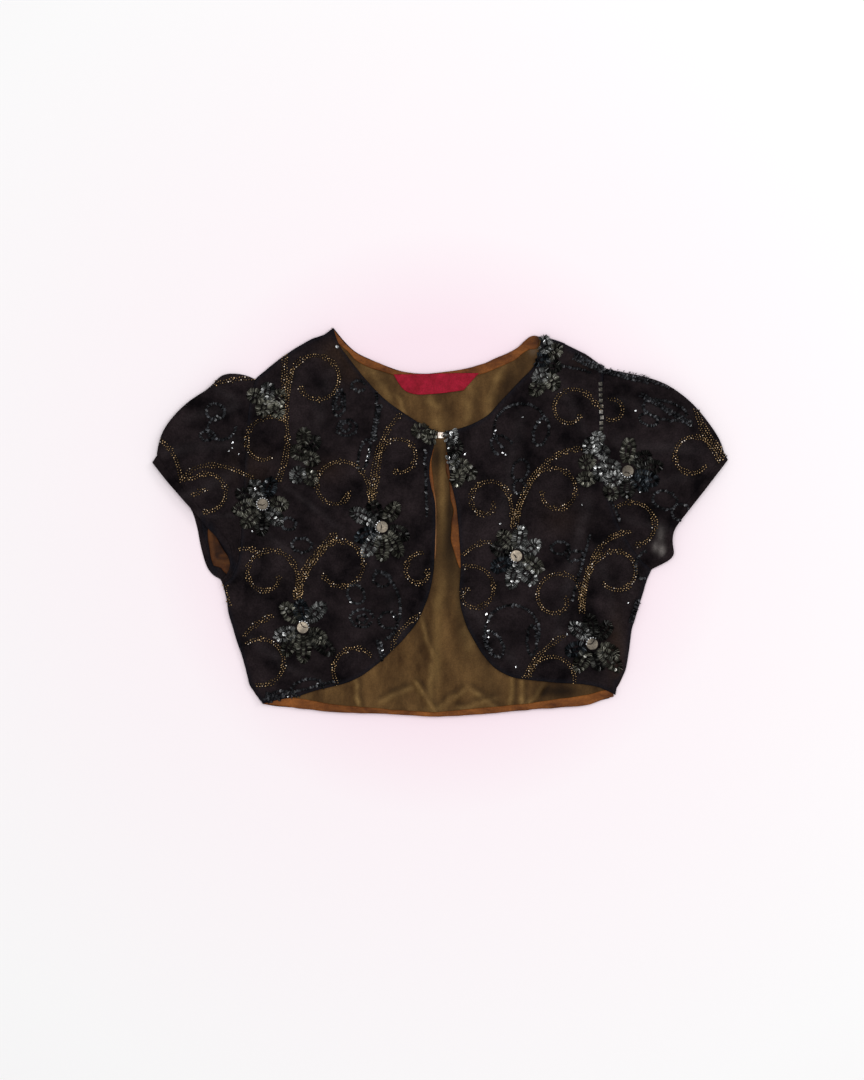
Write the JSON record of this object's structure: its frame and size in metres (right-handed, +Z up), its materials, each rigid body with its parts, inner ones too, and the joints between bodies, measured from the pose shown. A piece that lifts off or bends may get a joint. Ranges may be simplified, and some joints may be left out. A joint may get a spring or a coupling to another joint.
{
  "type": "bolero jacket",
  "caption": "Short-sleeved cropped bolero jacket lying flat, black beaded cloth with a round neck, curved fronts, puffed cap sleeves and a gold lining.",
  "frame": {"origin": "middle of the outline, on the surface that the jacket lies on", "axes": "+Z up out of that surface, +Y towards the neck, +X along the row of sleeves, to the wearer's left"},
  "size_m": [0.5758, 0.3884, 0.0171],
  "materials": {
    "black_cloth": "matt sheer weave",
    "gold_silk": "fine silk sheen",
    "orange_silk": "silk sheen",
    "crimson_label": "woven",
    "metal": "pale worn metal"
  },
  "bodies": {
    "root": {"back": "black_cloth", "front_left": "black_cloth", "front_right": "black_cloth", "sleeve_left": "black_cloth", "sleeve_right": "black_cloth", "sleeve_band_left": "black_cloth", "sleeve_band_right": "black_cloth", "back_lining": "gold_silk", "neck_facing": "orange_silk", "hem_facing": "orange_silk", "front_facing_left": "orange_silk", "front_facing_right": "orange_silk", "sleeve_lining_left": "orange_silk", "label": "crimson_label", "clasp_plate": "metal", "clasp_loop": "metal", "disc_1": "metal", "disc_2": "metal", "disc_3": "metal", "disc_4": "metal", "disc_5": "metal", "disc_6": "metal"}
  },
  "joints": []
}
